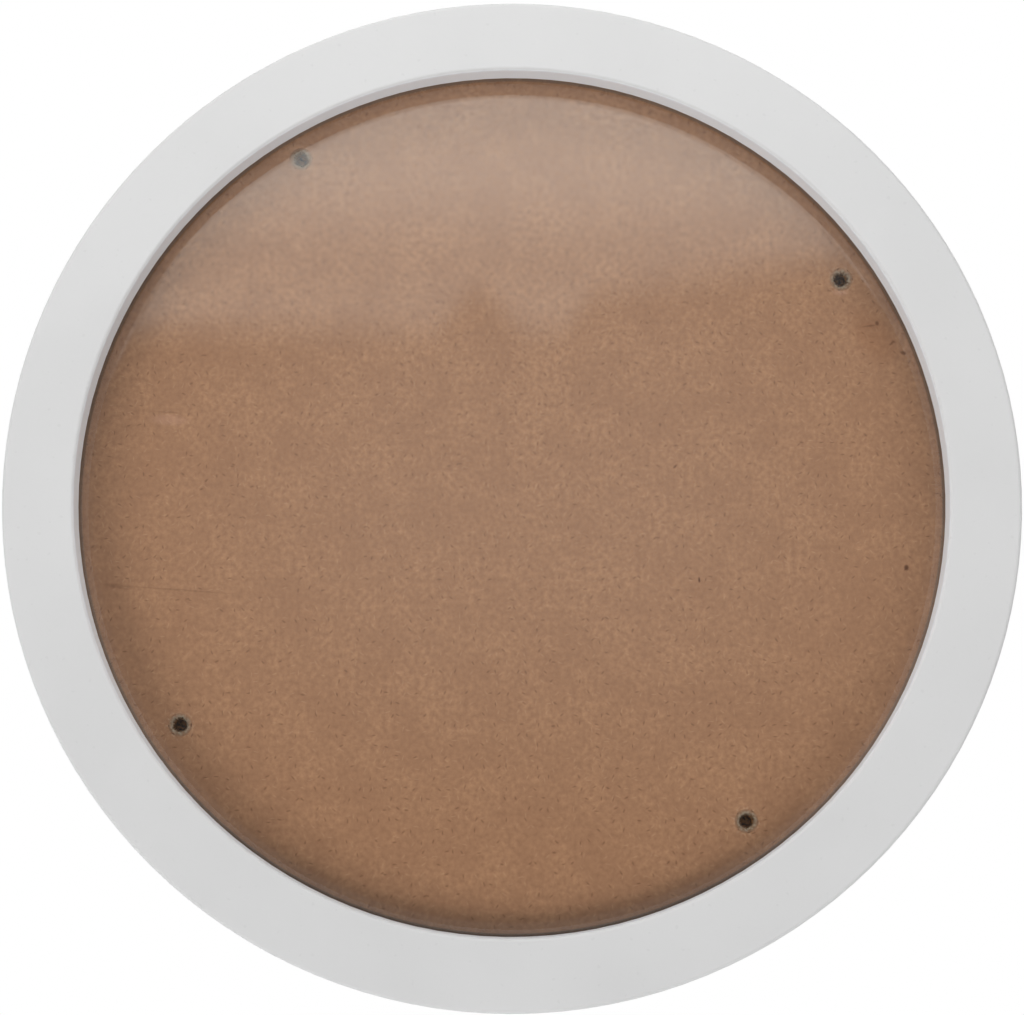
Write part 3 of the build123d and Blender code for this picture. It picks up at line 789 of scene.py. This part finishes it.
def clinched_rivet_tree(material):
    """Turns a profile about Y, then splits its clinched end into petals of uneven length."""
    tree = bpy.data.node_groups.new("clinched_rivet", "GeometryNodeTree")
    counts = ("Segments", "Petals")
    end_sizes = ("Clinch Back", "Clinch Blend", "Mouth Radius", "Clinch Radius")
    tear_values = ("Split", "Ragged", "Mouth", "Seed")
    tree.interface.new_socket("Profile", in_out="INPUT", socket_type="NodeSocketGeometry")
    for name in counts:
        tree.interface.new_socket(name, in_out="INPUT", socket_type="NodeSocketInt")
    for name in end_sizes + tear_values:
        tree.interface.new_socket(name, in_out="INPUT", socket_type="NodeSocketFloat")
    tree.interface.new_socket("Rivet", in_out="OUTPUT", socket_type="NodeSocketGeometry")
    given = add_node(tree, "NodeGroupInput").outputs

    # A grid with a row for each point of the profile and a column for each step of the turn
    size = add_node(tree, "GeometryNodeAttributeDomainSize", {"Geometry": given["Profile"]})
    rows = size.outputs["Point Count"]
    columns = add_node(tree, "ShaderNodeMath", {0: given["Segments"], 1: 1.0}, operation="ADD")
    grid = add_node(tree, "GeometryNodeMeshGrid", {"Vertices X": columns, "Vertices Y": rows})
    index = add_node(tree, "GeometryNodeInputIndex")
    row = add_node(tree, "ShaderNodeMath", {0: index, 1: rows}, operation="MODULO")
    column = add_node(tree, "ShaderNodeMath", {0: index, 1: rows}, operation="DIVIDE")
    column = add_node(tree, "ShaderNodeMath", {0: column}, operation="FLOOR")
    part_turn = add_node(tree, "ShaderNodeMath", {0: column, 1: given["Segments"]}, operation="DIVIDE")
    turn = add_node(tree, "ShaderNodeMath", {0: part_turn, 1: math.tau}, operation="MULTIPLY")
    cosine = add_node(tree, "ShaderNodeMath", {0: turn}, operation="COSINE")
    sine = add_node(tree, "ShaderNodeMath", {0: turn}, operation="SINE")
    position = add_node(tree, "GeometryNodeInputPosition")
    inputs = {"Geometry": given["Profile"], "Value": position, "Index": row}
    sample = add_node(tree, "GeometryNodeSampleIndex", inputs, data_type="FLOAT_VECTOR", domain="POINT")
    profile = add_node(tree, "ShaderNodeSeparateXYZ", {0: sample}).outputs

    # Splits between the petals, and a torn edge, which only reach the clinched end
    round_place = add_node(tree, "ShaderNodeCombineXYZ", {0: cosine, 1: sine, 2: given["Seed"]})
    inputs = {"Vector": round_place, "Scale": UNEVEN_SCALE, "Detail": 2.0}
    uneven = add_node(tree, "ShaderNodeTexNoise", inputs)
    inputs = {"Vector": round_place, "Scale": TORN_EDGE_SCALE, "Detail": 2.0, "Roughness": 0.7}
    torn = add_node(tree, "ShaderNodeTexNoise", inputs)
    inputs = {0: part_turn, 1: given["Petals"], 2: uneven}
    petal = add_node(tree, "ShaderNodeMath", inputs, operation="MULTIPLY_ADD")
    petal = add_node(tree, "ShaderNodeMath", {0: petal}, operation="FRACT")
    split = add_node(tree, "ShaderNodeMath", {0: petal, 1: 0.5}, operation="SUBTRACT")
    split = add_node(tree, "ShaderNodeMath", {0: split}, operation="ABSOLUTE")
    inputs = {"Value": split, "From Min": PETAL_SPLIT_SHARE, "From Max": 0.0}
    split = add_node(tree, "ShaderNodeMapRange", inputs, **SOFTLY)
    inputs = {0: given["Clinch Back"], 1: given["Clinch Blend"]}
    blend_end = add_node(tree, "ShaderNodeMath", inputs, operation="ADD")
    inputs = {"Value": profile["Y"], "From Min": blend_end, "From Max": given["Clinch Back"]}
    on_end = add_node(tree, "ShaderNodeMapRange", inputs, **SOFTLY)
    inputs = {"Value": profile["X"], "From Min": given["Mouth Radius"], "From Max": given["Clinch Radius"]}
    on_petal = add_node(tree, "ShaderNodeMapRange", inputs)
    share = add_node(tree, "ShaderNodeMath", {0: on_end, 1: on_petal}, operation="MULTIPLY")
    cut = add_node(tree, "ShaderNodeMath", {0: split, 1: given["Split"]}, operation="MULTIPLY")
    cut = add_node(tree, "ShaderNodeMath", {0: torn, 1: given["Ragged"], 2: cut}, operation="MULTIPLY_ADD")
    cut = add_node(tree, "ShaderNodeMath", {0: cut, 1: share}, operation="MULTIPLY")
    radius = add_node(tree, "ShaderNodeMath", {0: profile["X"], 1: cut}, operation="SUBTRACT")
    at_mouth = add_node(tree, "ShaderNodeMath", {0: on_end, 1: share}, operation="SUBTRACT")
    bite = add_node(tree, "ShaderNodeMath", {0: torn, 1: NOISE_MIDDLE}, operation="SUBTRACT")
    bite = add_node(tree, "ShaderNodeMath", {0: bite, 1: given["Mouth"]}, operation="MULTIPLY")
    inputs = {0: bite, 1: at_mouth, 2: radius}
    radius = add_node(tree, "ShaderNodeMath", inputs, operation="MULTIPLY_ADD")
    bent = add_node(tree, "ShaderNodeMath", {0: uneven, 1: NOISE_MIDDLE}, operation="SUBTRACT")
    bent = add_node(tree, "ShaderNodeMath", {0: bent, 1: share}, operation="MULTIPLY")
    inputs = {0: bent, 1: given["Ragged"], 2: profile["Y"]}
    depth = add_node(tree, "ShaderNodeMath", inputs, operation="MULTIPLY_ADD")
    across = add_node(tree, "ShaderNodeMath", {0: radius, 1: cosine}, operation="MULTIPLY")
    up = add_node(tree, "ShaderNodeMath", {0: radius, 1: sine}, operation="MULTIPLY")
    turned_place = add_node(tree, "ShaderNodeCombineXYZ", {0: across, 1: depth, 2: up})
    turned = add_node(tree, "GeometryNodeSetPosition", {"Geometry": grid, "Position": turned_place})

    # Dust, and grime with painted shade in the bore, kept on the points for the material: from 1 in the bore
    # to -1 at the torn edge
    inputs = {"Value": row, "From Min": BORE_POINTS + 1, "From Max": BORE_POINTS - 1}
    dust_and_bore_shade = add_node(tree, "ShaderNodeMapRange", inputs)
    dust_and_bore_shade = add_node(tree, "ShaderNodeMath", {0: dust_and_bore_shade, 1: share}, operation="SUBTRACT")
    inputs = {"Geometry": turned, "Name": "rivet_dust_and_bore_shade", "Value": dust_and_bore_shade}
    stained = add_node(tree, "GeometryNodeStoreNamedAttribute", inputs, data_type="FLOAT", domain="POINT")
    closed = add_node(tree, "GeometryNodeMergeByDistance", {"Geometry": stained, "Distance": MERGE_DISTANCE})
    real = add_node(tree, "GeometryNodeRealizeInstances", {"Geometry": closed})
    finished = add_node(tree, "GeometryNodeSetMaterial", {"Geometry": real, "Material": material})
    add_node(tree, "NodeGroupOutput", {"Rivet": finished})
    return tree


def clinched_rivet(number, tree, material):
    """One rivet in its place, with its own number of petals."""
    name = f"rivet_{number}"
    low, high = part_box(name)
    outline = rivet_profile(low.y, high.y)
    mesh = bpy.data.meshes.new(f"{name}_profile")
    steps = [(step, step + 1) for step in range(len(outline) - 1)]
    mesh.from_pydata([(radius, depth, 0) for radius, depth in outline], steps, [])
    source = bpy.data.objects.new(f"{name}_profile", mesh)
    bpy.context.scene.collection.objects.link(source)
    turned = source.modifiers.new("clinched_rivet", "NODES")
    turned.node_group = tree
    values = {
        "Segments": RIVET_SEGMENTS,
        "Petals": LEAST_PETALS + number % PETAL_CHOICES,
        "Clinch Back": low.y + CLINCH_HEIGHT,
        "Clinch Blend": CLINCH_BLEND,
        "Mouth Radius": CLINCH_MOUTH / 2,
        "Clinch Radius": CLINCH_DIAMETER / 2,
        "Split": PETAL_SPLIT,
        "Ragged": PETAL_RAGGED,
        "Mouth": MOUTH_RAGGED,
        "Seed": RIVET_SEED_STEP * number,
    }
    for item in tree.interface.items_tree:
        if item.in_out == "INPUT" and item.name in values:
            turned[item.identifier] = values[item.name]
    mesh = evaluated_mesh(source)
    shape = bmesh.new()
    shape.from_mesh(mesh)
    bmesh.ops.recalc_face_normals(shape, faces=shape.faces)
    shape.to_mesh(mesh)
    shape.free()
    mesh.transform(Matrix.Translation(((low.x + high.x) / 2, 0, (low.z + high.z) / 2)))
    mesh.shade_smooth()
    mesh.set_sharp_from_angle(angle=CREASE_ANGLE)
    piece_from_mesh(mesh, name, material)


def dress_the_part():
    """Give every node its finish, and replace the rivets and the pressed pieces by finer ones."""
    keep_with_material("frame_ring", satin_lacquer_on_fibreboard())
    keep_with_material("acrylic_pane", cast_acrylic())
    keep_with_material("backing_board", raw_fibreboard())
    zinc = plated_steel("zinc_plated_steel", *ZINC_COLOURS, ZINC_ROUGHNESS)
    brass_washed = plated_steel("brass_washed_steel", *BRASS_COLOURS, BRASS_ROUGHNESS)
    rivet_steel = dusty_rivet_steel()
    rubber = soft_rubber()
    tree = clinched_rivet_tree(rivet_steel)
    for number in RIVET_NUMBERS:
        clinched_rivet(number, tree, rivet_steel)
        pressed_piece(f"turn_tab_{number}", zinc)
        pressed_piece(f"washer_{number}", zinc)
    pressed_piece("sawtooth_hanger", zinc)
    for side in ("left", "right"):
        keep_with_material(f"hanger_nail_{side}", brass_washed)
        keep_with_material(f"wall_bumper_{side}", rubber)


def white_to_the_eye(tree, plain, white):
    """A plain shader for light that falls on the object, and white for what is seen or mirrored."""
    path = add_node(tree, "ShaderNodeLightPath").outputs
    inputs = {0: path["Is Camera Ray"], 1: path["Is Glossy Ray"]}
    seen = add_node(tree, "ShaderNodeMath", inputs, operation="MAXIMUM")
    seen = add_node(tree, "ShaderNodeMath", {0: seen, 1: path["Is Transmission Ray"]}, operation="MAXIMUM")
    return add_node(tree, "ShaderNodeMixShader", {0: seen, 1: plain, 2: white})


def studio_world():
    """Even soft light from all round, and a white background."""
    world = bpy.data.worlds.new("studio")
    bpy.context.scene.world = world
    world.use_nodes = True
    tree = world.node_tree
    tree.nodes.clear()
    plain = add_node(tree, "ShaderNodeBackground", {"Color": srgb(WHITE), "Strength": AMBIENT_LEVEL})
    white = add_node(tree, "ShaderNodeBackground", {"Color": srgb(WHITE), "Strength": 1.0})
    add_node(tree, "ShaderNodeOutputWorld", {"Surface": white_to_the_eye(tree, plain, white)})


def square_corners(side):
    """The corners of a square about its middle, one after the other."""
    half = side / 2
    return (-half, -half), (half, -half), (half, half), (-half, half)


def stage_sheet(name, corners, material):
    """A flat sheet of the studio, which isn't part of the object."""
    mesh = bpy.data.meshes.new(name)
    mesh.from_pydata(corners, [], [(0, 1, 2, 3)])
    mesh.materials.append(material)
    sheet = bpy.data.objects.new(name, mesh)
    bpy.context.scene.collection.objects.link(sheet)
    return sheet


def studio_floor():
    """A pale floor well below the hung frame. It takes the frame's shadow and turns white farther off."""
    material, tree = new_material("pale_floor")
    pale = add_node(tree, "ShaderNodeBsdfDiffuse", {"Color": srgb(FLOOR_COLOUR)})
    glow = add_node(tree, "ShaderNodeEmission", {"Color": srgb(WHITE), "Strength": FLOOR_LIFT})
    lifted = add_node(tree, "ShaderNodeAddShader", {0: pale, 1: glow})
    place = add_node(tree, "ShaderNodeTexCoord").outputs["Object"]
    distance = scaled_length(tree, place, (1, 1, 0))
    inputs = {"Value": distance, "From Min": FLOOR_FADE_START, "From Max": FLOOR_FADE_END}
    far = add_node(tree, "ShaderNodeMapRange", inputs, **SOFTLY)
    white = add_node(tree, "ShaderNodeEmission", {"Color": srgb(WHITE), "Strength": 1.0})
    seen = add_node(tree, "ShaderNodeMixShader", {0: far, 1: lifted, 2: white})
    add_node(tree, "ShaderNodeOutputMaterial", {"Surface": white_to_the_eye(tree, pale, seen)})
    corners = [(x, y, -HANGING_HEIGHT) for x, y in square_corners(FLOOR_SIDE)]
    stage_sheet("studio_floor", corners, material)


def glow_panel():
    """A panel before the frame, which its pane mirrors: dim low down and aside, bright above a wavy edge."""
    material, tree = new_material("glow_panel")
    place = add_node(tree, "ShaderNodeTexCoord").outputs["Object"]
    parts = add_node(tree, "ShaderNodeSeparateXYZ", {0: place}).outputs
    inputs = {
        "Value": parts["Z"],
        "From Min": PANEL_DIM_HEIGHT,
        "From Max": PANEL_GLOW_HEIGHT,
        "To Min": PANEL_DIM_GLOW,
        "To Max": PANEL_GLOW,
    }
    level = add_node(tree, "ShaderNodeMapRange", inputs, **SOFTLY)
    aside = add_node(tree, "ShaderNodeMath", {0: parts["X"]}, operation="ABSOLUTE")
    inputs = {
        "Value": aside,
        "From Min": PANEL_MIDDLE,
        "From Max": PANEL_SIDES,
        "To Min": 1.0,
        "To Max": PANEL_SIDE_SHARE,
    }
    aside = add_node(tree, "ShaderNodeMapRange", inputs, **SOFTLY)

    # The line of the bright part's lower edge: a hump, a step up, and a slope to the right
    from_hump = add_node(tree, "ShaderNodeMath", {0: parts["X"], 1: EDGE_HUMP_PLACE}, operation="SUBTRACT")
    from_hump = add_node(tree, "ShaderNodeMath", {0: from_hump}, operation="ABSOLUTE")
    inputs = {"Value": from_hump, "From Min": EDGE_HUMP_WIDTH, "From Max": 0.0, "To Max": EDGE_HUMP_HEIGHT}
    hump = add_node(tree, "ShaderNodeMapRange", inputs, **SOFTLY)
    inputs = {
        "Value": parts["X"],
        "From Min": EDGE_STEP_START,
        "From Max": EDGE_STEP_END,
        "To Max": EDGE_STEP_HEIGHT,
    }
    step = add_node(tree, "ShaderNodeMapRange", inputs, **SOFTLY)
    past_step = add_node(tree, "ShaderNodeMath", {0: parts["X"], 1: EDGE_STEP_END}, operation="SUBTRACT")
    past_step = add_node(tree, "ShaderNodeMath", {0: past_step, 1: 0.0}, operation="MAXIMUM")
    line = add_node(tree, "ShaderNodeMath", {0: past_step, 1: EDGE_SLOPE, 2: hump}, operation="MULTIPLY_ADD")
    line = add_node(tree, "ShaderNodeMath", {0: line, 1: step}, operation="ADD")
    above = add_node(tree, "ShaderNodeMath", {0: parts["Z"], 1: line}, operation="SUBTRACT")
    low, high = BRIGHT_EDGE - BRIGHT_EDGE_SOFT, BRIGHT_EDGE + BRIGHT_EDGE_SOFT
    inputs = {"Value": above, "From Min": low, "From Max": high}
    lower = add_node(tree, "ShaderNodeMapRange", inputs, **SOFTLY)
    low, high = BRIGHT_TOP - BRIGHT_TOP_SOFT, BRIGHT_TOP + BRIGHT_TOP_SOFT
    inputs = {"Value": parts["Z"], "From Min": low, "From Max": high}
    upper = add_node(tree, "ShaderNodeMapRange", inputs, **SOFTLY)
    aside = add_node(tree, "ShaderNodeMath", {0: aside, 1: lower}, operation="MAXIMUM")
    level = add_node(tree, "ShaderNodeMath", {0: level, 1: aside}, operation="MULTIPLY")
    inputs = {0: lower, 1: BRIGHT_LOW_GLOW, 2: level}
    strength = add_node(tree, "ShaderNodeMath", inputs, operation="MULTIPLY_ADD")
    inputs = {0: upper, 1: BRIGHT_TOP_GLOW, 2: strength}
    strength = add_node(tree, "ShaderNodeMath", inputs, operation="MULTIPLY_ADD")
    glow = add_node(tree, "ShaderNodeEmission", {"Color": srgb(PANEL_COLOUR), "Strength": strength})

    # The panel thins out towards its rim, so that the pane mirrors no hard edge from any side
    distance = scaled_length(tree, place, (1, 0, 1))
    inputs = {"Value": distance, "From Min": PANEL_SIDE / 2, "From Max": PANEL_FADE_START}
    solid = add_node(tree, "ShaderNodeMapRange", inputs, **SOFTLY)
    clear = add_node(tree, "ShaderNodeBsdfTransparent")
    shader = add_node(tree, "ShaderNodeMixShader", {0: solid, 1: clear, 2: glow})
    add_node(tree, "ShaderNodeOutputMaterial", {"Surface": shader})
    corners = [(x, front_face - PANEL_DISTANCE, z) for x, z in square_corners(PANEL_SIDE)]
    panel = stage_sheet("glow_panel", corners, material)
    panel.visible_camera = False
    panel.visible_diffuse = False
    panel.visible_shadow = False


def softbox(name, place, side, power):
    """A square soft lamp that looks at the middle of the frame. The pane doesn't mirror it."""
    lamp = bpy.data.lights.new(name, "AREA")
    lamp.size = side
    lamp.energy = power
    holder = bpy.data.objects.new(name, lamp)
    holder.location = ring_centre + Vector(place)
    holder.rotation_euler = (-Vector(place)).to_track_quat("-Z", "Y").to_euler()
    holder.visible_glossy = False
    holder.visible_transmission = False
    bpy.context.scene.collection.objects.link(holder)


def studio_lamps():
    """Soft lamps low and aside, which leave the rim's shade on the board, and others above and behind."""
    for name, place, side, power in SOFT_LAMPS:
        softbox(name, place, side, power)


def photo_camera():
    """The camera where the photo was taken from: a little below the frame's middle."""
    azimuth = math.radians(CAMERA_AZIMUTH)
    elevation = math.radians(CAMERA_ELEVATION)
    target = Vector((ring_centre.x, front_face, ring_centre.z))
    back = Vector((
        math.sin(azimuth) * math.cos(elevation),
        -math.cos(azimuth) * math.cos(elevation),
        math.sin(elevation),
    ))
    lens = bpy.data.cameras.new("photo_camera")
    lens.sensor_width = SENSOR_WIDTH
    lens.lens = SENSOR_WIDTH * FOCAL_PIXELS / PICTURE_WIDTH
    lens.shift_x = -TARGET_RIGHT_PIXELS / PICTURE_WIDTH
    lens.shift_y = -TARGET_UP_PIXELS / PICTURE_WIDTH
    lens.clip_start = CAMERA_CLIP_START
    camera = bpy.data.objects.new("photo_camera", lens)
    camera.location = target + back * CAMERA_DISTANCE
    camera.rotation_euler = (-back).to_track_quat("-Z", "Y").to_euler()
    bpy.context.scene.collection.objects.link(camera)
    bpy.context.scene.camera = camera


dress_the_part()
studio_world()
studio_floor()
glow_panel()
studio_lamps()
photo_camera()
bpy.context.scene.view_settings.view_transform = "Standard"
